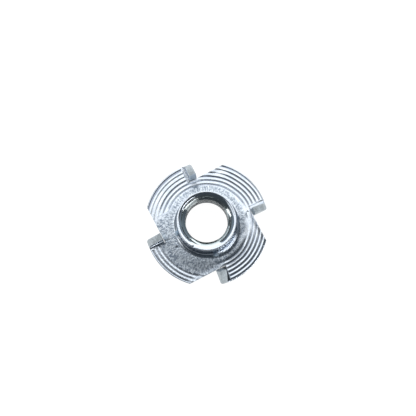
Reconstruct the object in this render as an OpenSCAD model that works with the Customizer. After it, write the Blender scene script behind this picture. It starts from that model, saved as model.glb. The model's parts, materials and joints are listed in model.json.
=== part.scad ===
// Four-prong tee nut, pressed from one piece of sheet steel.
//
// A round blank is drawn up into a barrel, which is threaded inside. Rings are
// pressed into the blank around it. Four prongs are sheared from the blank's
// rim and folded up beside the barrel, which leaves a notch next to each.
// The flat back face lies at z = 0, the barrel stands up along +Z, and the
// origin is on the thread's axis. Lengths are in millimetres, angles in degrees.

/* [Sheet] */
// Thickness of the sheet
sheet_t = 1.5; // [1.2:0.1:1.8]
// How much thinner the prongs are than the sheet, as the folding die irons them
ironing = 0.05; // [0.03:0.01:0.15]
// Inside radius of the fold at each prong
fold_r = 0.65; // [0.35:0.05:0.9]
// Where the sheet keeps its length in a fold, as a share of its thickness
neutral_share = 0.42; // [0.33:0.01:0.5]

/* [Flange] */
// Diameter of the round blank, and so of the flange
flange_d = 25.5; // [24.5:0.1:28]
// Width of the bevel that blanking left around the edge of the back face
bevel_w = 0.4; // [0.1:0.05:0.6]
// Height of that bevel, up the flange's edge
bevel_h = 0.3; // [0.1:0.05:0.5]

/* [Rings] */
// How many rings are pressed into the flange
ring_count = 6; // [1:1:6]
// Distance from the flange's edge to the outermost ring's deepest line
ring_inset = 0.35; // [0.3:0.05:0.6]
// Distance from one ring to the next
ring_pitch = 0.8; // [0.6:0.05:0.85]
// Width of the flat land that is left between one ring and the next
ring_land = 0.12; // [0.08:0.02:0.3]
// Depth of a ring's groove
ring_depth = 0.15; // [0.05:0.01:0.3]
// Share of a groove's width over which it falls, before it rises to the next land
ring_fall = 0.68; // [0.5:0.02:0.8]
// How many of the inner rings did not press out all the way round
short_rings = 3; // [0:1:6]
// Where the bare stretch of the short rings starts, from +X towards +Y
bare_start = 178; // [120:1:200]
// Angle that the bare stretch takes up
bare_span = 108; // [30:1:150]

/* [Barrel] */
// Outside diameter of the barrel
barrel_d = 12; // [11.6:0.1:12.6]
// Height of the whole nut, from its back face to the barrel's rim
nut_h = 13; // [11:0.5:18]
// Radius at the barrel's foot, where it leaves the flange
foot_r = 0.8; // [0.3:0.1:1]
// Rounding of the rim's outer edge
rim_r = 0.1; // [0.05:0.05:0.2]
// Width of the level crest that is left inside that rounding
rim_crest = 0.1; // [0.05:0.05:0.2]
// How far the rim's face drops from its crest in to the countersink
rim_dish = 0.2; // [0.05:0.05:0.4]

/* [Bore] */
// Minor diameter of the thread, which is the bore between its crests
bore_d = 8.6; // [8.2:0.05:9]
// Diameter of the countersink that leads into the thread at the rim
countersink_d = 10.6; // [9.4:0.1:10.7]
// Radius that drawing left at the bore's mouth in the back face
mouth_r = 2; // [0.8:0.1:2.4]

/* [Prongs] */
// Direction in which the first prong's fold runs out, from +X towards +Y
prong_turn = 27; // [0:1:89]
// Distance from the thread's axis to the line that each prong is sheared along
shear_x = 9.3; // [9:0.05:9.9]
// Clearance of the shear, which sets each prong's inner edge back from that line
shear_gap = 0.1; // [0.05:0.01:0.2]
// Setback of each prong's outer face from the axis, first prong to fourth
prong_setback = [3, 2.6, 2.7, 2.75]; // [1.5:0.05:3.5]
// Swing of each fold about its inner end, as they did not all fold true
fold_swing = [-2, -4, 0, -7]; // [-8:0.5:4]
// Lean of each prong past square, over its own wing of the flange
prong_lean = [0, 0, 2.5, 5]; // [-5:0.5:8]

/* [Hidden] */
$fn = 144;

flange_r = flange_d / 2;
barrel_r = barrel_d / 2;
bore_r = bore_d / 2;
countersink_r = countersink_d / 2;
countersink_depth = countersink_r - bore_r;
first_full_ring = ring_count - short_rings;

// A groove's cutter runs on above the sheet's face at the same slopes, by this
// share of its depth, and there it still stays clear of the next ring's cutter
ring_w = ring_pitch - ring_land;
ring_proud = ring_land / ring_w / 2;

prong_count = len(prong_setback);
prong_step = 360 / prong_count;
prongs = [0 : prong_count - 1];

// The outside of a fold runs on smoothly from the flange's back face, so its
// outer radius is also the height of the axis that it turns about
prong_t = sheet_t - ironing;
fold_outer_r = fold_r + prong_t;
neutral_r = fold_r + neutral_share * prong_t;

// Cutters run past the faces they open by this much
past = 1;

// Each prong's foot laps this far into the flange, inside the sheet, so that the
// two join as one solid. The lap takes the middle of the foot's width.
lap = 0.5;
foot_w = flange_r - shear_x;

// Where the blade of prong i starts in the blank, along the y axis of its frame.
// Its fold takes up the sheet between there and the fold's start in the flange.
function blade_foot(i) = fold_outer_r - neutral_r * (90 + prong_lean[i]) * PI / 180;

// What is left of a square corner outside a quarter circle: added where a wall
// rises from a face, or cut away to round an edge
module corner_fillet(r) {
    difference() {
        square(r);
        translate([r, r]) circle(r);
    }
}

// Half section of the flange and the barrel drawn from it
module drawn_section() {
    difference() {
        union() {
            square([flange_r, sheet_t]);
            square([barrel_r, nut_h]);
            translate([barrel_r, sheet_t]) corner_fillet(foot_r);
        }
        polygon([[flange_r - bevel_w, 0], [flange_r, 0], [flange_r, bevel_h]]);
        translate([0, -past]) square([bore_r, nut_h + 2 * past]);
        translate([bore_r, 0]) corner_fillet(mouth_r);
        translate([barrel_r, nut_h]) rotate(180) corner_fillet(rim_r);
        polygon([
            [bore_r, nut_h - rim_dish - countersink_depth],
            [countersink_r, nut_h - rim_dish],
            [barrel_r - rim_r - rim_crest, nut_h],
            [bore_r, nut_h + past],
        ]);
    }
}

// Cutter for one ring's groove, which falls gently away from the barrel and
// rises steeply on its outer side
module ring_groove(r, start, span) {
    top_w = ring_w * (1 + ring_proud);
    rotate_extrude(angle = span, start = start)
        translate([r, sheet_t])
            polygon([
                [0, -ring_depth],
                [top_w * (1 - ring_fall), ring_depth * ring_proud],
                [-top_w * ring_fall, ring_depth * ring_proud],
            ]);
}

// Cutters for all the rings, from the outermost inwards
module ring_grooves() {
    for (i = [0 : ring_count - 1]) {
        r = flange_r - ring_inset - i * ring_pitch;
        if (i < first_full_ring)
            ring_groove(r, 0, 360);
        else
            ring_groove(r, bare_start + bare_span, 360 - bare_span);
    }
}

// Cone that runs along the bevel of the blank's edge, and on past it both ways
module bevel_cone() {
    above = fold_outer_r + past;
    slope = bevel_w / bevel_h;
    translate([0, 0, -past])
        cylinder(
            r1 = flange_r - slope * (bevel_h + past),
            r2 = flange_r - slope * (bevel_h - above),
            h = above + past
        );
}

// Everything in the plane that lies beyond the shear line of prong i by a gap
module beyond_shear(i, gap) {
    rotate(prong_turn + i * prong_step)
        translate([shear_x + gap, -flange_d])
            square(2 * flange_d);
}

// The frame of prong i has its origin at the notch's inner corner and its x axis
// along the prong's outer face. Its y axis points over the prong's own wing.
module to_prong(i) {
    rotate(prong_turn + i * prong_step)
        translate([shear_x, -prong_setback[i]])
            rotate(fold_swing[i])
                children();
}

// Takes its children from the blank's own frame to the frame of prong i, moved
// along y so that the foot of the prong's blade comes to y = 0
module from_blank(i) {
    translate([0, -blade_foot(i)])
        rotate(-fold_swing[i])
            translate([-shear_x, prong_setback[i]])
                rotate(-prong_turn - i * prong_step)
                    children();
}

// Stands what lies in the plane of the blank up on the fold of prong i, with the
// sheet's upper face turned inward
module turned_up(i) {
    rotate([-90 - prong_lean[i], 0, 0])
        translate([0, 0, -fold_outer_r])
            children();
}

// Opening that the fold of prong i and its blade leave in the flange
module notch(i) {
    translate([0, 0, -past])
        linear_extrude(sheet_t + 2 * past)
            intersection() {
                beyond_shear(i, 0);
                to_prong(i)
                    translate([-flange_d, fold_outer_r - 2 * flange_d])
                        square(2 * flange_d);
            }
}

// Strip of sheet bent up along the fold of prong i, before its edges are trimmed.
// The rings that cross it are pressed into the blade. The origin is on the axis
// that the fold turns about.
module bent_strip(i) {
    lean = prong_lean[i];
    translate([foot_w / 2, 0, prong_t / 2 - fold_outer_r])
        cube([foot_w / 2, 2 * lap, prong_t / 2], center = true);
    rotate([90, 0, 90])
        rotate_extrude(angle = 90 + lean, start = 180 - lean)
            translate([fold_r, -past]) square([prong_t, flange_r]);
    turned_up(i)
        difference() {
            translate([-past, -flange_r, 0]) cube([flange_r, flange_r, prong_t]);
            from_blank(i) ring_grooves();
        }
}

// Prong i, trimmed to the outline that its segment had in the blank
module prong(i) {
    intersection() {
        to_prong(i)
            translate([0, fold_outer_r, fold_outer_r])
                intersection() {
                    bent_strip(i);
                    turned_up(i)
                        translate([0, 0, -past])
                            linear_extrude(fold_outer_r + 2 * past)
                                from_blank(i)
                                    intersection() {
                                        circle(flange_r);
                                        beyond_shear(i, shear_gap);
                                    }
                    turned_up(i) from_blank(i) bevel_cone();
                }
        translate([0, 0, -past]) cylinder(r = flange_r, h = flange_d);
    }
}

module tee_nut() {
    color([0.77, 0.79, 0.82])
        union() {
            difference() {
                rotate_extrude() drawn_section();
                ring_grooves();
                for (i = prongs) notch(i);
            }
            for (i = prongs) prong(i);
        }
}

tee_nut();
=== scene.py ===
"""Four-prong tee nut of zinc-plated sheet steel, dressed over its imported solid.

The flat blank is built first, with its barrel, rings and thread. Then each prong
is slit from it and folded up, so the rings that cross a fold run on up the prong.
Sizes of the part are in millimetres, and those of the stage in metres where they
don't say otherwise. Directions run from +X towards +Y.
"""

import json
import math
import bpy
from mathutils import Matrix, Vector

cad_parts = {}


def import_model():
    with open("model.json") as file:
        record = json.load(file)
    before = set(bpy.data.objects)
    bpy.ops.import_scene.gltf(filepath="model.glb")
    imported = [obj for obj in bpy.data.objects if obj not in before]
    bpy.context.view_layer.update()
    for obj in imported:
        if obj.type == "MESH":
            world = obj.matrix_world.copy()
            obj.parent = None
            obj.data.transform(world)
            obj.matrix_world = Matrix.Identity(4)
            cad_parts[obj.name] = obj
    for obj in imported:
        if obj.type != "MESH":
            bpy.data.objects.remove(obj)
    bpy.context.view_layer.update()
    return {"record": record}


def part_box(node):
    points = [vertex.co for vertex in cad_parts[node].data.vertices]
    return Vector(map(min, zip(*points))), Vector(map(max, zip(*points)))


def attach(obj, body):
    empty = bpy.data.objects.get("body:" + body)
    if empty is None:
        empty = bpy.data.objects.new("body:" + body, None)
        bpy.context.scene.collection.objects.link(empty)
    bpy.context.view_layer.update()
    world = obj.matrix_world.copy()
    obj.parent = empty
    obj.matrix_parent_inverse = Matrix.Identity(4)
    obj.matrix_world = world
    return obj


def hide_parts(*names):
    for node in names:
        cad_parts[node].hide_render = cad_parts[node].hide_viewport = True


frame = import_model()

from types import SimpleNamespace

import bmesh
import bpy
import numpy as np
from mathutils import Vector

MM = 0.001
NODE = "tee_nut"

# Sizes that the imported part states
mounts = {m["name"]: m["dims"] for m in frame["record"]["mounts"]}
CREST_R = mounts["thread"]["r_mm"]
BARREL_R = mounts["barrel"]["r_mm"]
NUT_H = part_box(NODE)[1].z / MM

# Sheet and flange
SHEET_T = 1.5
PRONG_T = 1.45
FLANGE_R = 12.75
# Rolled edge of the back face
EDGE_ROLL_W = 0.45
EDGE_ROLL_H = 0.4
# How far the upper face's two outermost rows drop at the rim
RIM_DROPS = [0.12, 0.036]
# How high the flange's middle is dished up: direction in degrees, then the height
DISH_HEIGHTS = [(15, 0.13), (280, 0.13), (305, 0.05), (345, 0.04)]
# How far out the dished middle reaches: direction in degrees, then the radius
DISH_REACH = [
    (10, 9.0), (50, 8.4), (150, 8.4), (189, 10.7), (271, 10.7), (306, 9.0), (325, 9.0), (345, 9.4),
]

# Barrel: fillet at its foot (direction in degrees, then the radius) and its rim
FOOT_RADII = [(25, 1.1), (265, 1.1), (310, 1.6), (340, 1.5)]
RIM_R = 0.1
RIM_CREST = 0.1
RIM_DISH = 0.2

# Bore: countersink, the thread's root, and the rounded mouth in the back face
COUNTERSINK_R = 5.3
ROOT_R = 5.0
MOUTH_R = 2.0
# Heights between which the bore's rows follow the thread
BORE_LOW = 0.35
BORE_HIGH = NUT_H - RIM_DISH
# Rolled lead of the countersink: the height that it takes, and the share of that
# by which it narrows the bore
LEAD_H = 0.38
LEAD_SHARE = 0.25
# Thread's pitch, and the height over which it runs out at its lower end
THREAD_PITCH = 1.5
THREAD_RUNOUT = 0.9
# One turn of the thread: shares of the pitch, and how deep the thread is at each
THREAD_TURNS = np.array([0.0, 0.125, 0.215, 0.305, 0.395, 0.5, 0.605, 0.695, 0.785, 0.875])
THREAD_DEPTHS = np.array([0.0, 0.0, 0.24, 0.5, 0.72, 0.76, 0.72, 0.5, 0.24, 0.0])

# Rings, from the innermost
RING_COUNT = 6
FIRST_RING_R = 8.41
RING_PITCH = 0.8
RING_RADII = [round(FIRST_RING_R + ring * RING_PITCH, 2) for ring in range(RING_COUNT)]
RING_DEPTH = 0.045
# Radii between which the upper face is taken as ringed
RINGS_IN = 7.8
RINGS_OUT = 12.6
# Shares of the pitch over which a ring falls to its deepest line and rises again
RING_FALL = 0.56
RING_RISE = 0.36
# How many of the inner rings run out on one side, the middle of that bare stretch,
# and the cosines of the angles from it at which they start to fade and are gone
SHORT_RINGS = 3
BARE_MIDDLE = math.radians(230)
BARE_FROM = 0.25
BARE_TO = 0.75
# How far the rings lie out from true circles: direction in degrees, then millimetres
RING_WANDER = [
    (25, 0.2), (60, -0.1), (85, -0.25), (112, -0.25), (150, -0.16),
    (215, 0.0), (260, 0.1), (305, 0.22), (320, 0.3), (340, 0.26),
]
# Radii between which the wander sets in, and the radius from which it fades to the rim
WANDER_IN = (7.65, 8.1)
WANDER_OUT = 12.1
# How deep the innermost ring, the full rings and the outermost ring are pressed:
# direction in degrees, then a share of the rings' depth
FIRST_RING_SHARE = [(15, 0.3), (35, 1.0), (325, 1.0), (345, 0.3)]
FULL_RING_SHARE = [
    (62, 1.0), (78, 0.25), (95, 0.7), (125, 0.65), (185, 0.6),
    (215, 0.8), (235, 0.7), (265, 0.75), (295, 1.0),
]
LAST_RING_SHARE = [(95, 1.1), (140, 1.5), (185, 1.3), (230, 0.8), (295, 1.0)]

# Radius out to which drawing dulled the flange, and the same where it is bare
DRAWN_R = 7.9
BARE_DRAWN_R = 10.7
# How far to each side of that radius it fades, and its share beyond it where bare
DRAWN_FADE = 0.4
OUTER_DULL = 0.35
# Distances out from the barrel between which it sets in
DRAWN_START = (0.4, 1.1)

# Prongs: the first one's direction, the shear line and its clearance, the fold's
# inside radius and neutral line, and each one's setback, swing and lean
PRONG_TURN = 27
SHEAR_X = 9.3
SHEAR_GAP = 0.1
FOLD_R = 0.65
NEUTRAL_SHARE = 0.42
PRONGS = [(3.0, -2.0, 0.0), (2.6, -4.0, 0.0), (2.7, 0.0, 2.5), (2.75, -7.0, 5.0)]
FOLD_OUTER_R = FOLD_R + PRONG_T
NEUTRAL_R = FOLD_R + NEUTRAL_SHARE * PRONG_T
# How dark the painted shade is inside each prong's fold
FOLD_SHADES = [0.12, 0.15, 0.0, 1.0]
# How near the rim a fold's inside stops, the distances past the fold's start
# between which it sets in, and how far past the bend it fades
FOLD_FROM_RIM = 0.2
FOLD_FADE_IN = (-0.35, 0.05)
FOLD_FADE_OUT = 0.5
# Heights in the blank between which the folding die's wiping sets in, and how far
# past a fold's start it is whole
WIPED_SKIN = (0.3, 0.05)
WIPED_FADE = 0.6

# Lift that shearing left along each notch: its height, its width, and each notch's
# share, which drops the edge where it is negative
SHEAR_LIFT = 0.05
SHEAR_LIFT_W = 0.5
NOTCH_LIFTS = [1.0, 0.7, -0.35, 1.0]
# Radius that it lies outside, how far in from the shear line it is followed, and
# the distances before the fold's start between which it sets in
LIFT_FROM_R = 8.5
LIFT_REACH = 2
LIFT_FADE = (0.4, -0.8)

# Dents in the flange's upper face: place, radius and depth, below 0 for a bump
DENTS = [(-6.16, -4.79, 0.2, 0.05), (-6.3, -4.3, 0.3, -0.02), (8.44, 2.36, 0.2, 0.02)]
# A scratch in it: its two ends, half its width and its depth
SCRATCH = ((-8.93, -3.6), (-7.49, -3.09), 0.12, 0.03)
# A nick in the barrel's rim: place, radius and depth
NICK = (-2.68, -5.19, 0.2, 0.12)
# How far down from the face a dent reaches and how clear of the barrel it stays,
# and how far down from the rim a nick reaches
DENT_REACH = 0.3
DENT_CLEAR = 0.5
NICK_REACH = 1.0

# Mesh: columns round the flange and round the barrel, and rows along each stretch
OUTER_COLUMNS = 540
INNER_COLUMNS = OUTER_COLUMNS // 2
EDGE_ROLL_ROWS = 8
EDGE_HEIGHTS = (0.6, 0.8, 1.0, 1.2)
ANNULUS_ROWS = 8
FOOT_ROWS = 13
WALL_ROWS = 6
RIM_ROWS = 5
RIM_FACE_ROWS = 7
# Radii of the ringed face's rows, from the rim in, and where the annulus starts
ROWS_PER_RING = 12
RING_ROWS = np.arange(FLANGE_R, RINGS_IN, -RING_PITCH / ROWS_PER_RING)
ANNULUS_STEP = 0.12
ANNULUS_R = RING_ROWS[-1] - ANNULUS_STEP
# Heights of the mouth's rows, as shares of the bore's low end
MOUTH_SHARES = (1.0, 0.8, 0.6, 0.42, 0.27, 0.15, 0.06, 0.0)
# Radii of the back face's first rows, and of the row at which its columns double
BACK_RADII = (6.8, 7.4)
BACK_STEP_R = 7.6
BACK_ROWS = 16
# Corners are at one place when they round to the same steps of this size
WELD = 1e-4

# Slits: how far back along the shear line a cutter starts, outside the rim, how far
# it runs past the sheet's faces, its step along the slit and its layers in the sheet
SLIT_REACH = 10.0
SLIT_PAST = 0.5
SLIT_STEP = 0.12
SLIT_LAYERS = 5

# How near a point lies to a sheared face, to the rim and to a fold's start to be on it
ON_SHEAR = 1e-3
ON_RIM = 0.01
ON_FOLD = 0.05
# Edges that turn by more than this are shaded as sharp
SHARP_ANGLE = math.radians(42)


def smooth(low, high, value):
    """0 at low, 1 at high, level beyond them, and a smooth step between them."""
    t = np.clip((value - low) / (high - low), 0, 1)
    return t * t * (3 - 2 * t)


def angles(columns):
    """Directions of this many columns round the axis."""
    return np.arange(columns) * 2 * math.pi / columns


def circle(r, z, theta):
    """Points at radius r and height z, which may both vary with theta."""
    r, z, theta = np.broadcast_arrays(r, z, theta)
    return np.stack([r * np.cos(theta), r * np.sin(theta), z], axis=-1)


# ---------------------------------------------------------------- blank's form


def around(stops, theta):
    """Value in direction theta, smoothly between stops given as degrees and value."""
    turn = 2 * math.pi
    directions = np.radians([direction for direction, _ in stops])
    directions = np.concatenate([directions - turn, directions, directions + turn])
    values = np.tile([value for _, value in stops], 3)
    upper = np.searchsorted(directions, theta % turn)
    lower = upper - 1
    share = smooth(directions[lower], directions[upper], theta % turn)
    return values[lower] + (values[upper] - values[lower]) * share


def bare_share(theta):
    """1 in the directions where the inner rings are bare, and 0 where they are whole."""
    return smooth(BARE_FROM, BARE_TO, np.cos(theta - BARE_MIDDLE))


def groove_share(ring, theta):
    """How much of its full depth ring has in direction theta."""
    if ring == RING_COUNT - 1:
        return around(LAST_RING_SHARE, theta)
    if ring >= SHORT_RINGS:
        return around(FULL_RING_SHARE, theta)
    pressed = 1 - bare_share(theta)
    if ring == 0:
        return pressed * around(FIRST_RING_SHARE, theta)
    return pressed


def ring_relief(rho, theta):
    """Depth of the pressed rings below the sheet's face: each falls gently away
    from the barrel and rises more steeply again."""
    depth = np.zeros(np.broadcast(rho, theta).shape)
    for ring, radius in enumerate(RING_RADII):
        u = (rho - radius) / RING_PITCH
        fall = np.clip(1 + u / RING_FALL, 0, 1)
        rise = np.clip(1 - u / RING_RISE, 0, 1)
        share = groove_share(ring, theta)
        depth = np.maximum(depth, share * np.where(u < 0, fall, rise))
    return RING_DEPTH * depth


def foot_radius(theta):
    """Radius of the fillet at the barrel's foot, which is larger on one side."""
    return around(FOOT_RADII, theta)


def dish(r, theta):
    """Height by which the flange is drawn up towards the barrel. It reaches out
    furthest where the inner rings are bare."""
    reach = around(DISH_REACH, theta)
    return around(DISH_HEIGHTS, theta) * (1 - smooth(BARREL_R + foot_radius(theta), reach, r))


def flange_top(rho, theta):
    """Point of the flange's upper face on the ring line rho in direction theta."""
    held = smooth(*WANDER_IN, rho) * (1 - smooth(WANDER_OUT, FLANGE_R, rho))
    r = rho + around(RING_WANDER, theta) * held
    z = SHEET_T + dish(r, theta) - ring_relief(rho, theta)
    return circle(r, z, theta)


def bore_radius(z, thread):
    """Radius of the bore where the thread, countersink and mouth all cut it."""
    threaded = CREST_R + (ROOT_R - CREST_R) * thread
    below = BORE_HIGH - z
    rolled = LEAD_H * (1 - np.exp(-np.clip(below, 0, None) / LEAD_H)) * LEAD_SHARE
    countersink = COUNTERSINK_R - below - rolled
    drop = np.clip(MOUTH_R - z, 0, MOUTH_R)
    mouth = CREST_R + MOUTH_R - np.sqrt(MOUTH_R ** 2 - drop ** 2)
    return np.maximum(np.maximum(threaded, countersink), mouth)


# ------------------------------------------------------------------ blank mesh


class Patches:
    """Grids of points, welded into one closed mesh."""

    def __init__(self):
        self.points = []
        self.faces = []
        self.count = 0

    def add_points(self, rows):
        start = self.count
        flat = rows.reshape(-1, 3)
        self.points.append(flat)
        self.count += len(flat)
        return start + np.arange(len(flat)).reshape(rows.shape[:-1])

    def grid(self, rows, wrap=True):
        """Quads between the rows, which close into rings where wrap is set."""
        index = self.add_points(rows)
        near = index if wrap else index[:, :-1]
        far = np.roll(index, -1, axis=1) if wrap else index[:, 1:]
        quads = np.stack([near[:-1], far[:-1], far[1:], near[1:]], axis=-1)
        self.faces += quads.reshape(-1, 4).tolist()

    def step_down(self, fine, coarse, flip=False):
        """Joins a row to one with half as many columns."""
        a = self.add_points(fine)
        b = self.add_points(coarse)
        count = len(b)
        for k in range(count):
            first, middle, last = a[2 * k], a[2 * k + 1], a[(2 * k + 2) % (2 * count)]
            here, there = b[k], b[(k + 1) % count]
            for face in ((first, middle, here), (middle, last, there), (middle, there, here)):
                self.faces.append([int(i) for i in (face[::-1] if flip else face)])

    def welded(self):
        """Points and faces after corners at one place become one point."""
        points = np.concatenate(self.points)
        _, first, index = np.unique(
            np.round(points / WELD).astype(np.int64), axis=0, return_index=True, return_inverse=True
        )
        index = index.reshape(-1)
        faces = []
        for face in self.faces:
            corners = [int(index[i]) for i in face]
            kept = [c for n, c in enumerate(corners) if c != corners[n - 1]]
            if len(set(kept)) == len(kept) >= 3:
                faces.append(kept)
        return points[first], faces


def quarter_turns(rows):
    """Angles of a rounding's rows, from its start to a quarter turn."""
    return np.linspace(0, math.pi / 2, rows)


def add_flange(patches):
    """Rim of the flange from the back face up, and the ringed upper face."""
    outer = angles(OUTER_COLUMNS)
    rows = []
    for turn in quarter_turns(EDGE_ROLL_ROWS):
        r = FLANGE_R - EDGE_ROLL_W * (1 - math.sin(turn))
        rows.append(circle(r, EDGE_ROLL_H * (1 - math.cos(turn)), outer))
    for z in EDGE_HEIGHTS:
        rows.append(circle(FLANGE_R, z, outer))
    ringed = [flange_top(rho, outer) for rho in RING_ROWS]
    for row, drop in zip(ringed, RIM_DROPS):
        row[:, 2] -= drop
    patches.grid(np.stack(rows + ringed))
    inner = angles(INNER_COLUMNS)
    patches.step_down(flange_top(RING_ROWS[-1], outer), flange_top(ANNULUS_R, inner))


def add_barrel(patches):
    """Plain annulus, fillet at the foot, barrel wall, and the rim's dished face."""
    inner = angles(INNER_COLUMNS)
    foot = foot_radius(inner)
    rows = [flange_top(rho, inner) for rho in np.linspace(ANNULUS_R, BARREL_R + foot, ANNULUS_ROWS)]
    base = SHEET_T + around(DISH_HEIGHTS, inner)
    for turn in quarter_turns(FOOT_ROWS)[1:]:
        r = BARREL_R + foot * (1 - math.sin(turn))
        z = base + foot * (1 - math.cos(turn))
        rows.append(circle(r, z, inner))
    for z in np.linspace(base + foot, NUT_H - RIM_R, WALL_ROWS)[1:]:
        rows.append(circle(BARREL_R, z, inner))
    for turn in quarter_turns(RIM_ROWS)[1:]:
        r = BARREL_R - RIM_R * (1 - math.cos(turn))
        z = NUT_H - RIM_R * (1 - math.sin(turn))
        rows.append(circle(r, z, inner))
    crest_r = BARREL_R - RIM_R - RIM_CREST
    for share in np.linspace(0, 1, RIM_FACE_ROWS):
        r = crest_r + (COUNTERSINK_R - crest_r) * share
        rows.append(circle(r, NUT_H - RIM_DISH * share ** 2, inner))
    patches.grid(np.stack(rows))


def add_bore(patches):
    """Countersink and thread. The rows follow the helix, and the first and last
    are level, to meet the rim and the mouth."""
    seam = np.concatenate([angles(INNER_COLUMNS), [2 * math.pi]])
    # One turn for what the height leaves over and one past each end, as a row
    # climbs by a turn on its way round
    turns = int((BORE_HIGH - BORE_LOW) / THREAD_PITCH) + 3
    stations = np.concatenate([n + THREAD_TURNS for n in range(turns)])
    depths = np.tile(THREAD_DEPTHS / THREAD_DEPTHS.max(), turns)
    rows = [circle(bore_radius(BORE_HIGH, 0.0), BORE_HIGH, seam)]
    for station, depth in zip(stations[::-1], depths[::-1]):
        z = BORE_LOW + (station - 1 + seam / (2 * math.pi)) * THREAD_PITCH
        z = np.clip(z, BORE_LOW, BORE_HIGH)
        cut_in = smooth(BORE_LOW, BORE_LOW + THREAD_RUNOUT, z)
        rows.append(circle(bore_radius(z, depth * cut_in), z, seam))
    rows.append(circle(bore_radius(BORE_LOW, 0.0), BORE_LOW, seam))
    patches.grid(np.stack(rows), wrap=False)


def add_back(patches):
    """Rounded mouth of the bore and the flat back face."""
    outer = angles(OUTER_COLUMNS)
    inner = angles(INNER_COLUMNS)
    rows = []
    for share in MOUTH_SHARES:
        z = share * BORE_LOW
        rows.append(circle(bore_radius(z, 0.0), z, inner))
    for r in BACK_RADII:
        rows.append(circle(r, 0.0, inner))
    patches.grid(np.stack(rows))
    patches.step_down(circle(BACK_STEP_R, 0.0, outer), circle(BACK_RADII[-1], 0.0, inner), flip=True)
    radii = np.linspace(BACK_STEP_R, FLANGE_R - EDGE_ROLL_W, BACK_ROWS)
    patches.grid(np.stack([circle(r, 0.0, outer) for r in radii]))


def blank_mesh():
    """The drawn, threaded and ringed blank, before its prongs are slit."""
    patches = Patches()
    add_flange(patches)
    add_barrel(patches)
    add_bore(patches)
    add_back(patches)
    return patches.welded()


def mesh_object(name, points, faces):
    """An object in the scene whose mesh has these points and faces."""
    mesh = bpy.data.meshes.new(name)
    mesh.from_pydata(points.tolist(), [], faces)
    mesh.update()
    made = bpy.data.objects.new(name, mesh)
    bpy.context.scene.collection.objects.link(made)
    return made


# -------------------------------------------------------------- slits and folds


def prong_frame(i):
    """Prong i's shear direction and the way along its shear line, and its own
    frame's origin and axes: x along its fold, y over its own wing."""
    setback, swing, _ = PRONGS[i]
    turn = math.radians(PRONG_TURN + i * 360 / len(PRONGS))
    radial = np.array([math.cos(turn), math.sin(turn)])
    tangent = np.array([-radial[1], radial[0]])
    origin = SHEAR_X * radial - setback * tangent
    swung = turn + math.radians(swing)
    x = np.array([math.cos(swung), math.sin(swung)])
    y = np.array([-x[1], x[0]])
    return radial, tangent, origin, x, y


def slit_cutter(i):
    """Thin box over the slit that frees prong i, in small faces like the grid's."""
    radial, tangent, origin, _, y = prong_frame(i)
    edges = (SHEAR_X, SHEAR_X + SHEAR_GAP)
    # How far along the shear line each edge of the slit meets the start of the fold
    stops = [(FOLD_OUTER_R + (origin - edge * radial) @ y) / (tangent @ y) for edge in edges]
    count = int((SLIT_REACH + min(stops)) / SLIT_STEP)
    within = np.linspace(0, SHEET_T, SLIT_LAYERS + 1)[1:-1]
    layers = np.concatenate([[-SLIT_PAST], within, [SHEET_T + SLIT_PAST]])
    sides = []
    for edge, stop in zip(edges, stops):
        along = np.linspace(-SLIT_REACH, stop, count + 1)
        side = np.empty((len(layers), count + 1, 3))
        side[..., :2] = edge * radial + along[:, None] * tangent
        side[..., 2] = layers[:, None]
        sides.append(side)
    # Two long sides, then the top, the bottom and the two ends
    near, far = sides
    patches = Patches()
    patches.grid(near[:, ::-1], wrap=False)
    patches.grid(far, wrap=False)
    patches.grid(np.stack([far[-1], near[-1]]), wrap=False)
    patches.grid(np.stack([far[0], near[0]]), wrap=False)
    patches.grid(np.stack([far[:, 0], near[:, 0]], axis=1), wrap=False)
    patches.grid(np.stack([near[:, -1], far[:, -1]], axis=1), wrap=False)
    points, faces = patches.welded()
    cutter = mesh_object(f"slit_cutter_{i}", points, faces)
    turned = bmesh.new()
    turned.from_mesh(cutter.data)
    bmesh.ops.recalc_face_normals(turned, faces=turned.faces)
    turned.to_mesh(cutter.data)
    turned.free()
    return cutter


def cut(piece, cutter):
    """Takes the cutter away from the piece and deletes it."""
    trim = piece.modifiers.new("slit", "BOOLEAN")
    trim.operation = "DIFFERENCE"
    trim.solver = "MANIFOLD"
    trim.object = cutter
    graph = bpy.context.evaluated_depsgraph_get()
    shaped = bpy.data.meshes.new_from_object(piece.evaluated_get(graph))
    shaped.materials.clear()
    piece.modifiers.clear()
    old = piece.data
    piece.data = shaped
    bpy.data.meshes.remove(old)
    bpy.data.objects.remove(cutter)


def mesh_points(mesh):
    """The mesh's points, a row of x, y and z for each."""
    points = np.empty(len(mesh.vertices) * 3)
    mesh.vertices.foreach_get("co", points)
    return points.reshape(-1, 3)


def folded(points):
    """The blank's points after each prong is folded up."""
    made = points.copy()
    for i, (_, _, lean) in enumerate(PRONGS):
        radial, _, origin, x, y = prong_frame(i)
        flat = points[:, :2]
        local_x = (flat - origin) @ x
        local_y = (flat - origin) @ y
        moved = (flat @ radial > SHEAR_X + SHEAR_GAP / 2) & (local_y < FOLD_OUTER_R)
        run = FOLD_OUTER_R - local_y[moved]
        full = math.radians(90 + lean)
        turn = np.minimum(run / NEUTRAL_R, full)
        straight = run - turn * NEUTRAL_R
        depth = points[moved, 2] * PRONG_T / SHEET_T
        rho = FOLD_OUTER_R - depth
        new_y = FOLD_OUTER_R - rho * np.sin(turn) - straight * np.cos(turn)
        new_z = FOLD_OUTER_R - rho * np.cos(turn) + straight * np.sin(turn)
        made[moved, :2] = origin + local_x[moved, None] * x + new_y[:, None] * y
        made[moved, 2] = new_z
    return made


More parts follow.
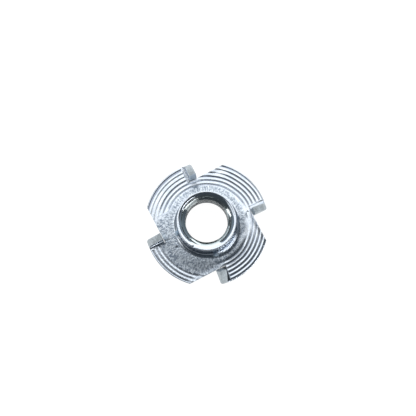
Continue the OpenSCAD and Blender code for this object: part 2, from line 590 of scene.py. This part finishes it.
def lifted_edges(points):
    """Lifts the flange's upper edge along each notch, or drops it there."""
    made = points.copy()
    flat = points[:, :2]
    for i, share in enumerate(NOTCH_LIFTS):
        radial, _, origin, _, y = prong_frame(i)
        inside = SHEAR_X - flat @ radial
        before, after = LIFT_FADE
        beside = smooth(FOLD_OUTER_R + before, FOLD_OUTER_R + after, (flat - origin) @ y)
        near = (inside > -SHEAR_GAP / 2) & (inside < LIFT_REACH) & (np.hypot(*flat.T) > LIFT_FROM_R)
        falling = np.exp(-(np.clip(inside, 0, None) / SHEAR_LIFT_W) ** 2)
        lift = share * SHEAR_LIFT * falling * beside
        made[:, 2] += np.where(near, lift * points[:, 2] / SHEET_T, 0.0)
    return made


def fold_shares(points):
    """For each prong, 1 on the sheet's upper face inside its fold."""
    flat = points[:, :2]
    within = np.hypot(*flat.T) < FLANGE_R - FOLD_FROM_RIM
    on_face = (points[:, 2] > SHEET_T - 2 * RING_DEPTH) & within
    shares = []
    for i, (_, _, lean) in enumerate(PRONGS):
        radial, _, origin, _, y = prong_frame(i)
        beyond = flat @ radial > SHEAR_X + SHEAR_GAP / 2
        run = FOLD_OUTER_R - (flat - origin) @ y
        bend = math.radians(90 + lean) * NEUTRAL_R
        share = smooth(*FOLD_FADE_IN, run) * smooth(bend + FOLD_FADE_OUT, bend, run)
        shares.append(np.where(beyond & on_face, share, 0.0))
    return np.array(shares)


def ironed_folds(points):
    """Flattens the rings inside each fold, where the punch pressed on them."""
    made = points.copy()
    made[:, 2] += (SHEET_T - points[:, 2]) * fold_shares(points).sum(axis=0)
    return made


def press(made, where, away, size, depth):
    """Presses a rounded mark into the points where it lies. Away is the square of
    each point's distance from its middle."""
    made[:, 2] -= np.where(where, depth * np.exp(-away / size ** 2), 0.0)


def marked(points):
    """Dents and scratches the flange's upper face, and nicks the barrel's rim."""
    made = points.copy()
    flat = points[:, :2]
    face = (points[:, 2] > SHEET_T - DENT_REACH) & (np.hypot(*flat.T) > BARREL_R + DENT_CLEAR)
    for x, y, size, depth in DENTS:
        press(made, face, ((flat - (x, y)) ** 2).sum(axis=1), size, depth)
    start, end, half_width, depth = (np.array(value) for value in SCRATCH)
    run = end - start
    along = np.clip((flat - start) @ run / (run @ run), 0, 1)
    away = ((flat - start - along[:, None] * run) ** 2).sum(axis=1)
    press(made, face, away, half_width, depth)
    x, y, size, depth = NICK
    rim = points[:, 2] > NUT_H - NICK_REACH
    press(made, rim, ((flat - (x, y)) ** 2).sum(axis=1), size, depth)
    return made


# ------------------------------------------------- what the finish reads, by point


def cut_edge(flat):
    """1 on the faces that were blanked or sheared, and 0 elsewhere."""
    rim = np.hypot(flat[:, 0], flat[:, 1])
    made = (rim > FLANGE_R - EDGE_ROLL_W + ON_RIM) & (flat[:, 2] < EDGE_ROLL_H)
    made |= rim > FLANGE_R - ON_RIM
    for i in range(len(PRONGS)):
        radial, _, origin, _, y = prong_frame(i)
        across = flat[:, :2] @ radial - SHEAR_X
        on_slit = (np.abs(across) < ON_SHEAR) | (np.abs(across - SHEAR_GAP) < ON_SHEAR)
        made |= on_slit & ((flat[:, :2] - origin) @ y < FOLD_OUTER_R + ON_FOLD)
    return made.astype(float)


def sheared_side(flat):
    """1 on the sides that shearing left on the prongs."""
    made = np.zeros(len(flat))
    for i in range(len(PRONGS)):
        radial, _, origin, _, y = prong_frame(i)
        on_side = np.abs(flat[:, :2] @ radial - SHEAR_X - SHEAR_GAP) < ON_SHEAR
        made += on_side & ((flat[:, :2] - origin) @ y < FOLD_OUTER_R)
    return np.clip(made, 0, 1)


def groove_depth(flat):
    """How deep each point lies in a ring, as a share of the rings' depth."""
    r = np.hypot(flat[:, 0], flat[:, 1])
    theta = np.arctan2(flat[:, 1], flat[:, 0])
    below = (SHEET_T + dish(r, theta) - flat[:, 2]) / RING_DEPTH
    on_rings = (r > RINGS_IN) & (r < RINGS_OUT) & (flat[:, 2] > SHEET_T - 2 * RING_DEPTH)
    return np.where(on_rings, np.clip(below, 0, 1), 0.0)


def drawn_share(flat):
    """How much drawing dulled the flange: 1 between the barrel and the rings, and
    less on the rings where the inner ones are bare."""
    r = np.hypot(flat[:, 0], flat[:, 1])
    bare = bare_share(np.arctan2(flat[:, 1], flat[:, 0]))
    reach = DRAWN_R + (BARE_DRAWN_R - DRAWN_R) * bare
    near = smooth(reach + DRAWN_FADE, reach - DRAWN_FADE, r)
    start, full = DRAWN_START
    return np.maximum(near, OUTER_DULL * bare) * smooth(BARREL_R + start, BARREL_R + full, r)


def wiped_back(flat):
    """1 on the outside of the prongs and their folds, which the folding die wiped."""
    made = np.zeros(len(flat))
    for i in range(len(PRONGS)):
        radial, _, origin, _, y = prong_frame(i)
        beyond = flat[:, :2] @ radial > SHEAR_X + SHEAR_GAP / 2
        bent = smooth(FOLD_OUTER_R, FOLD_OUTER_R - WIPED_FADE, (flat[:, :2] - origin) @ y)
        made += np.where(beyond, bent * smooth(*WIPED_SKIN, flat[:, 2]), 0.0)
    return np.clip(made, 0, 1)


def mark(mesh, name, values):
    """Keeps a number for each point of the mesh, for the finish to read."""
    made = mesh.attributes.new(name, "FLOAT", "POINT")
    made.data.foreach_set("value", values.astype(np.float32))


def tee_nut():
    """The whole part as one closed mesh in metres."""
    points, faces = blank_mesh()
    piece = mesh_object("tee_nut_pressing", points, faces)
    for i in range(len(PRONGS)):
        cut(piece, slit_cutter(i))
    mesh = piece.data
    flat = ironed_folds(mesh_points(mesh))
    shape = folded(lifted_edges(marked(flat)))
    blank = mesh.attributes.new("blank", "FLOAT_VECTOR", "POINT")
    blank.data.foreach_set("vector", flat.astype(np.float32).ravel())
    mark(mesh, "edge", cut_edge(flat))
    mark(mesh, "groove", groove_depth(flat))
    mark(mesh, "drawn", drawn_share(flat))
    mark(mesh, "wiped", wiped_back(flat))
    mark(mesh, "sheared", sheared_side(flat))
    # Share of painted shade inside each prong's fold
    mark(mesh, "recess", FOLD_SHADES @ fold_shares(flat))
    mesh.vertices.foreach_set("co", (shape * MM).ravel())
    mesh.update()
    mesh.shade_smooth()
    mesh.set_sharp_from_angle(angle=SHARP_ANGLE)
    return piece


# ---------------------------------------------------------------- shader's wires


class Wire:
    """A shader socket on which Python's arithmetic adds Math nodes."""

    def __init__(self, finish, socket):
        self.finish = finish
        self.socket = socket

    def math(self, operation, *values):
        """What a Math node makes of these values."""
        return self.finish.node("ShaderNodeMath", {"operation": operation}, dict(enumerate(values)))

    def __add__(self, other):
        return self.math("ADD", self, other)

    def __sub__(self, other):
        return self.math("SUBTRACT", self, other)

    def __rsub__(self, other):
        return self.math("SUBTRACT", other, self)

    def __mul__(self, other):
        return self.math("MULTIPLY", self, other)

    def __truediv__(self, other):
        return self.math("DIVIDE", self, other)

    def __rtruediv__(self, other):
        return self.math("DIVIDE", other, self)

    __radd__ = __add__
    __rmul__ = __mul__


class Finish:
    """The nodes of a material or of the world, and the one method that adds them."""

    def __init__(self, owner):
        owner.use_nodes = True
        self.owner = owner
        self.tree = owner.node_tree
        self.tree.nodes.clear()

    def node(self, kind, settings=None, sockets=None, output=0):
        """Adds a node, gives its settings and then its sockets, and returns the
        output that is asked for, or a list of them for a list of names."""
        made = self.tree.nodes.new(kind)
        for name, value in (settings or {}).items():
            setattr(made, name, value)
        for name, value in (sockets or {}).items():
            if isinstance(value, Wire):
                self.tree.links.new(value.socket, made.inputs[name])
            else:
                made.inputs[name].default_value = value
        if isinstance(output, list):
            return [Wire(self, made.outputs[name]) for name in output]
        return Wire(self, made.outputs[output]) if made.outputs else None

    def attribute(self, name, output="Fac"):
        """What the mesh keeps under this name at each point."""
        return self.node("ShaderNodeAttribute", {"attribute_name": name}, output=output)

    def vector(self, x, y, z):
        return self.node("ShaderNodeCombineXYZ", sockets={"X": x, "Y": y, "Z": z})

    def split(self, vector):
        return self.node("ShaderNodeSeparateXYZ", sockets={0: vector}, output=["X", "Y", "Z"])

    def length(self, vector):
        return self.node("ShaderNodeVectorMath", {"operation": "LENGTH"}, {0: vector}, "Value")

    def between(self, low, high, value):
        """0 at low, 1 at high, and a smooth step between them."""
        sockets = {"Value": value, "From Min": low, "From Max": high}
        return self.node("ShaderNodeMapRange", {"interpolation_type": "SMOOTHSTEP"}, sockets)

    def noise(self, place, scale, detail, roughness):
        sockets = {"Vector": place, "Scale": scale, "Detail": detail, "Roughness": roughness}
        return self.node("ShaderNodeTexNoise", {"noise_dimensions": "3D"}, sockets)

    def colour_mix(self, share, first, second):
        """The first colour at 0 and the second at 1. A Mix node's colours are its
        sockets 6 and 7, and its colour output is 2."""
        return self.node("ShaderNodeMix", {"data_type": "RGBA"}, {0: share, 6: first, 7: second}, 2)


# ------------------------------------------------------------------ zinc's finish

# Colours of the plating: plain, drawn, painted shade in the rings, in the bore with painted
# shade down it, on the wiped outside of the prongs, on cut faces, and painted shade inside the folds
# and at the barrel's foot
ZINC = (0.78, 0.835, 0.90, 1.0)
ZINC_SHADE = (0.62, 0.69, 0.78, 1.0)
ZINC_DRAWN = (0.73, 0.80, 0.87, 1.0)
DRAWN_SHADE = (0.23, 0.28, 0.35, 1.0)
# Painted shade at the bottom of the rings
GROOVE_SHADE = (0.20, 0.24, 0.32, 1.0)
COUNTERSINK = (0.70, 0.76, 0.77, 1.0)
# Grey of the thread, partly its own duller finish and partly painted shade
BORE_THREAD = (0.50, 0.55, 0.56, 1.0)
# Painted shade deep in the bore
BORE_DEEP_SHADE = (0.25, 0.28, 0.29, 1.0)
WIPED_PALE = (0.52, 0.58, 0.61, 1.0)
WIPED_DARK = (0.40, 0.46, 0.49, 1.0)
EDGE_DARK = (0.33, 0.375, 0.40, 1.0)
EDGE_PALE = (0.60, 0.665, 0.71, 1.0)
SHEARED = (0.62, 0.69, 0.73, 1.0)
# Painted shade inside the folds
FOLD_PAINTED_SHADE = (0.05, 0.06, 0.07, 1.0)
# Painted shade at the barrel's foot, on one side
FOOT_PAINTED_SHADE = (0.40, 0.45, 0.52, 1.0)

# Noises over the blank: scale, detail and roughness
GRAIN_NOISE = (7.0, 3.0, 0.6)
SPECKLE_NOISE = (3.0, 2.0, 0.6)
MOTTLE_NOISE = (0.5, 2.0, 0.5)
# The streaks' noise, and how far it is stretched round the barrel and outward
STREAK_NOISE = (1.2, 4.0, 0.7)
STREAKS_ROUND = 28
STREAKS_OUT = 1.2

# Relief of the bump in millimetres, and what each noise gives to it: everywhere,
# and more on the cut faces or where the sheet was drawn
BUMP_H = 0.002
GRAIN_BUMP = 0.4
CUT_GRAIN_BUMP = 2.0
STREAK_BUMP = 6.0
SPECKLE_BUMP = 1.0
DRAWN_SPECKLE_BUMP = 3.0

# Roughness of the plating, what each place adds to it and what the bore takes off
PLATE_ROUGH = 0.13
MOTTLE_ROUGH = 0.06
DRAWN_ROUGH = 0.12
THREAD_ROUGH = 0.14
WIPED_ROUGH = 0.25
BORE_POLISH = 0.06
# Roughness of the cut faces, and what the grain adds to it
CUT_ROUGH = 0.42
CUT_GRAIN_ROUGH = 0.2

# Radii between which the bore's finish and the painted shade at the barrel's foot set in
BORE_EDGE = (5.35, 5.2)
FOOT_OUTSIDE = (6.7, 6.4)
FOOT_INSIDE = (5.7, 5.9)
# Heights between which the thread dulls, its colour starts, painted shade darkens the bore and
# the painted shade at the foot sets in
THREAD_DULLS = (12.2, 11.4)
THREAD_STARTS = (12.3, 12.0)
BORE_DARKENS = (11.8, 8.0)
FOOT_TOP = (4.5, 2.8)
# The painted shade at the foot falls where x is greater than y, and sets in between these
# differences
FOOT_SIDE = (0.0, 3.0)

# Values of the noises, and of the rings' depth, over which a colour turns
TONE_TURNS = (0.42, 0.58)
SHADE_TURNS = (0.35, 0.7)
EDGE_TURNS = (0.35, 0.65)
GROOVE_TURNS = (0.55, 0.95)
# How much of the painted shade shows in the rings
GROOVE_SHARE = 0.75
# How much of the tone the streaks give, and how much the speckle does
STREAK_TONE = 0.6
SPECKLE_TONE = 0.4


def zinc_skin(finish):
    """What the zinc's finish varies with: places, the mesh's marks and noises."""
    blank = finish.attribute("blank", "Vector")
    x, y, z = finish.split(blank)
    radius = finish.length(finish.vector(x, y, 0.0))
    # Streaks run outward from the barrel: they vary fast round it and slowly outward
    fan = finish.vector(x / radius * STREAKS_ROUND, y / radius * STREAKS_ROUND, radius * STREAKS_OUT)
    return SimpleNamespace(
        x=x,
        y=y,
        z=z,
        radius=radius,
        bore=finish.between(*BORE_EDGE, radius),
        edge=finish.attribute("edge"),
        groove=finish.attribute("groove"),
        drawn=finish.attribute("drawn"),
        wiped=finish.attribute("wiped"),
        sheared=finish.attribute("sheared"),
        recess=finish.attribute("recess"),
        streaks=finish.noise(fan, *STREAK_NOISE),
        grain=finish.noise(blank, *GRAIN_NOISE),
        speckle=finish.noise(blank, *SPECKLE_NOISE),
        mottle=finish.noise(blank, *MOTTLE_NOISE),
    )


def zinc_normal(finish, skin):
    """Fine grain, deeper on the cut faces, and streaks where the sheet was drawn."""
    height = skin.grain * (GRAIN_BUMP + skin.edge * CUT_GRAIN_BUMP)
    height = height + skin.streaks * skin.drawn * STREAK_BUMP
    height = height + skin.speckle * (SPECKLE_BUMP + skin.drawn * DRAWN_SPECKLE_BUMP)
    sockets = {"Strength": 1.0, "Distance": BUMP_H * MM, "Height": height}
    return finish.node("ShaderNodeBump", sockets=sockets, output="Normal")


def zinc_roughness(finish, skin):
    """Glossy plating, duller where it was drawn, threaded, wiped or cut."""
    threaded = skin.bore * finish.between(*THREAD_DULLS, skin.z)
    plain = PLATE_ROUGH + skin.mottle * MOTTLE_ROUGH + skin.drawn * DRAWN_ROUGH
    plain = plain - skin.bore * BORE_POLISH + threaded * THREAD_ROUGH
    cut_face = skin.edge * (CUT_ROUGH + skin.grain * CUT_GRAIN_ROUGH)
    wiped = (skin.wiped + skin.recess) * (1 - skin.edge) * WIPED_ROUGH
    return plain * (1 - skin.edge) + cut_face + wiped


def bore_colour(finish, skin):
    """Bright countersink, grey thread that is partly painted shade, and painted shade that darkens
    the bore further down.
    """
    threaded = finish.colour_mix(finish.between(*THREAD_STARTS, skin.z), COUNTERSINK, BORE_THREAD)
    return finish.colour_mix(finish.between(*BORE_DARKENS, skin.z), threaded, BORE_DEEP_SHADE)


def foot_shade_share(finish, skin):
    """1 round the barrel's foot, on the side where it gets painted shade."""
    ring = finish.between(*FOOT_OUTSIDE, skin.radius) * finish.between(*FOOT_INSIDE, skin.radius)
    return ring * finish.between(*FOOT_TOP, skin.z) * finish.between(*FOOT_SIDE, skin.x - skin.y)


def cut_colour(finish, skin):
    """Mottled grey of the blanked edges, and plain grey of the sheared sides."""
    mottled = finish.between(*EDGE_TURNS, (skin.mottle + skin.speckle) * 0.5)
    blanked = finish.colour_mix(mottled, EDGE_DARK, EDGE_PALE)
    return finish.colour_mix(skin.sheared, blanked, SHEARED)


def zinc_colour(finish, skin):
    """Colour of the plating all over the part."""
    tone = finish.between(*TONE_TURNS, skin.streaks * STREAK_TONE + skin.speckle * SPECKLE_TONE)
    shade = finish.between(*SHADE_TURNS, skin.speckle * 0.5 + skin.mottle * 0.5)
    groove = finish.between(*GROOVE_TURNS, skin.groove) * GROOVE_SHARE
    face = finish.colour_mix(shade, ZINC, ZINC_SHADE)
    face = finish.colour_mix(skin.drawn, face, finish.colour_mix(tone, ZINC_DRAWN, DRAWN_SHADE))
    # Painted shade round the barrel's foot, on one side
    face = finish.colour_mix(foot_shade_share(finish, skin), face, FOOT_PAINTED_SHADE)
    # Painted shade that greys the thread and darkens the bore further down
    face = finish.colour_mix(skin.bore, face, bore_colour(finish, skin))
    # Painted shade at the bottom of the rings, strongest where they are deepest
    face = finish.colour_mix(groove, face, GROOVE_SHADE)
    face = finish.colour_mix(skin.wiped, face, finish.colour_mix(tone, WIPED_PALE, WIPED_DARK))
    # Painted shade inside the folds, as dark as each prong's share
    face = finish.colour_mix(skin.recess, face, FOLD_PAINTED_SHADE)
    return finish.colour_mix(skin.edge, face, cut_colour(finish, skin))


def zinc_finish():
    """Bright zinc plating, streaked where it was drawn and dull where it was sheared."""
    finish = Finish(bpy.data.materials.new("zinc_plate"))
    skin = zinc_skin(finish)
    sockets = {
        "Base Color": zinc_colour(finish, skin),
        "Metallic": 1.0,
        "Roughness": zinc_roughness(finish, skin),
        "Normal": zinc_normal(finish, skin),
    }
    shader = finish.node("ShaderNodeBsdfPrincipled", sockets=sockets)
    finish.node("ShaderNodeOutputMaterial", sockets={"Surface": shader})
    return finish.owner


# ------------------------------------------------------------------------ stage

# Picture: its width in pixels, the part's scale in it and where the axis comes
PICTURE_PX = 416
PX_PER_MM = 4.85
AXIS_PX = (206.45, 224.42)
# Camera: distance and sensor width in millimetres, angle above the floor, and clip
CAMERA_AWAY = 450.0
SENSOR_W = 36.0
CAMERA_HEIGHT = math.radians(86.65)
CLIP_START = 0.01

# Lamps that face the part: name, place, width, height and power in watts
LAMPS = [
    ("overhead_lamp", (-0.04, 0.44, 0.90), 1.9, 0.975, 7.6),
    ("back_lamp", (0.03, 0.94, 0.34), 1.25, 0.63, 3.2),
    ("side_lamp", (-0.66, -0.24, 0.71), 0.42, 0.62, 0.85),
    ("upper_strip", (0.672, -0.584, 0.434), 0.62, 0.11, 0.8),
    ("lower_strip", (0.719, -0.670, 0.121), 0.92, 0.07, 1.5),
    ("west_strip", (-0.945, -0.271, 0.121), 0.35, 0.05, 0.17),
]

# Floor: radius and height of its rings, and how far it lies under the part
FLOOR_RINGS = [(0.001, 0.0), (0.3, 0.0), (1.2, 0.0), (1.5, 0.03), (1.7, 0.1), (1.8, 0.25)]
FLOOR_COLUMNS = 96
FLOOR_DROP = 0.00005
# Its matt colour, and its glow with and without the background's rays
FLOOR_MATT = (0.2, 0.2, 0.2, 1.0)
FLOOR_GLOW = (0.98, 0.98, 0.98, 1.0)
BLACK = (0.0, 0.0, 0.0, 1.0)
# How much of its glow reflections see, and the radii over which they lose it
REFLECTED = 0.92
FLOOR_NEAR = 0.3
FLOOR_FAR = 0.9

# World: its colour, its strength all round, and how much is added on one side
SKY = (0.70, 0.85, 1.0, 1.0)
SKY_PLAIN = 0.07
SKY_EXTRA = 0.22
# Directions along y and along z between which that side sets in
SKY_SIDE = (-0.6, 0.3)
SKY_TOP = (0.7, 0.4)


def look_at(made, place, target):
    """Puts an object in its place and aims it at the target."""
    made.location = place
    made.rotation_mode = "QUATERNION"
    made.rotation_quaternion = (target - place).to_track_quat("-Z", "Y")


def camera():
    """Camera over the part, turned so that the axis comes to its place in the picture."""
    data = bpy.data.cameras.new("camera")
    data.sensor_width = SENSOR_W
    data.lens = SENSOR_W * CAMERA_AWAY * PX_PER_MM / PICTURE_PX
    data.clip_start = CLIP_START
    made = bpy.data.objects.new("camera", data)
    bpy.context.scene.collection.objects.link(made)
    place = Vector((0, -math.cos(CAMERA_HEIGHT), math.sin(CAMERA_HEIGHT))) * CAMERA_AWAY * MM
    target = Vector((PICTURE_PX / 2 - AXIS_PX[0], AXIS_PX[1] - PICTURE_PX / 2, 0)) / PX_PER_MM * MM
    look_at(made, place, target)
    bpy.context.scene.camera = made


def soft_lamp(name, place, width, height, power):
    """A rectangular lamp that faces the part and isn't seen by the camera."""
    data = bpy.data.lights.new(name, "AREA")
    data.shape = "RECTANGLE"
    data.size = width
    data.size_y = height
    data.energy = power
    made = bpy.data.objects.new(name, data)
    made.visible_camera = False
    bpy.context.scene.collection.objects.link(made)
    look_at(made, Vector(place), Vector((0, 0, 0)))


def background_rays(finish):
    """1 for the camera's rays, which see a plain white background, less for its
    reflections, down to 0 far from the part, and 0 for the rays that light things."""
    names = ["Is Camera Ray", "Is Glossy Ray", "Is Transmission Ray"]
    seen, glossy, clear = finish.node("ShaderNodeLightPath", output=names)
    place = finish.node("ShaderNodeNewGeometry", output="Position")
    near = finish.between(FLOOR_FAR, FLOOR_NEAR, finish.length(place))
    return seen + (glossy + clear) * near * REFLECTED


def floor_finish():
    """Matt floor that keeps the part's shadow, and glows for the background's rays."""
    finish = Finish(bpy.data.materials.new("pale_floor"))
    colour = finish.colour_mix(background_rays(finish), BLACK, FLOOR_GLOW)
    glow = finish.node("ShaderNodeEmission", sockets={"Color": colour})
    matt = finish.node("ShaderNodeBsdfDiffuse", sockets={"Color": FLOOR_MATT})
    both = finish.node("ShaderNodeAddShader", sockets={0: glow, 1: matt})
    finish.node("ShaderNodeOutputMaterial", sockets={"Surface": both})
    return finish.owner


def floor():
    """Pale floor that sweeps up far from the part."""
    theta = angles(FLOOR_COLUMNS)
    patches = Patches()
    patches.grid(np.stack([circle(r, z - FLOOR_DROP, theta) for r, z in FLOOR_RINGS[::-1]]))
    points, faces = patches.points[0], patches.faces
    # The innermost ring is the last, and one face closes it
    faces.append(list(range(len(points) - FLOOR_COLUMNS, len(points))))
    made = mesh_object("floor", points, faces)
    made.data.shade_smooth()
    made.data.materials.append(floor_finish())


def world():
    """Pale blue light, stronger from low down on the side of +Y."""
    made = bpy.data.worlds.new("studio")
    bpy.context.scene.world = made
    finish = Finish(made)
    _, y, z = finish.split(finish.node("ShaderNodeTexCoord", output="Generated"))
    bright = finish.between(*SKY_SIDE, y) * finish.between(*SKY_TOP, z)
    sockets = {"Color": SKY, "Strength": bright * SKY_EXTRA + SKY_PLAIN}
    light = finish.node("ShaderNodeBackground", sockets=sockets)
    finish.node("ShaderNodeOutputWorld", sockets={"Surface": light})


def main():
    """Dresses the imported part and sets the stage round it."""
    part = tee_nut()
    part.data.materials.append(zinc_finish())
    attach(part, "root")
    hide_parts(NODE)
    floor()
    world()
    for lamp in LAMPS:
        soft_lamp(*lamp)
    camera()
    bpy.context.scene.view_settings.view_transform = "Standard"


main()
